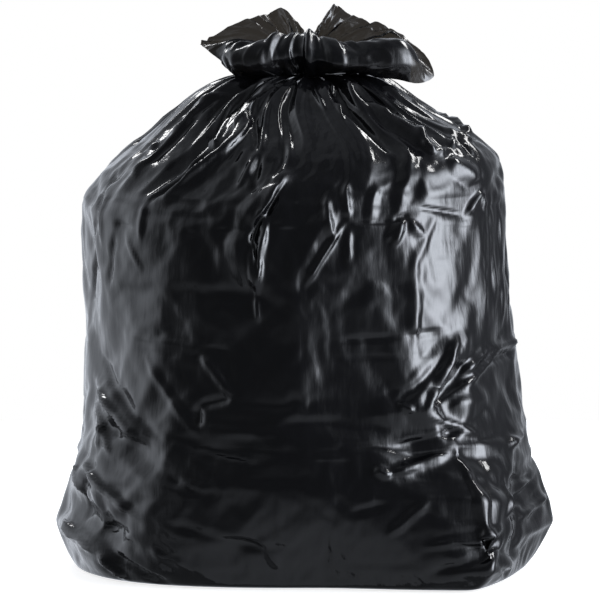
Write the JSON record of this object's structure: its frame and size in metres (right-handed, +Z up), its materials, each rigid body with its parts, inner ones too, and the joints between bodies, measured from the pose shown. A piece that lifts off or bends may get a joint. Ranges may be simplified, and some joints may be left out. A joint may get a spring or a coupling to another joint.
{
  "type": "filled refuse sack",
  "caption": "Full refuse sack of glossy black film, standing on its base, gathered and tied at the neck with the open mouth fanned out above the tie.",
  "frame": {"origin": "centre of the overall box at floor level, under the middle of the sack", "axes": "+Z up through the tied neck, +X to the right across the front seen in the picture, +Y to the back"},
  "size_m": [0.5215, 0.4525, 0.5932],
  "materials": {
    "film": "glossy, creased",
    "tie": "dull"
  },
  "bodies": {
    "root": {"sack": "film", "neck_tie": "tie"}
  },
  "joints": []
}
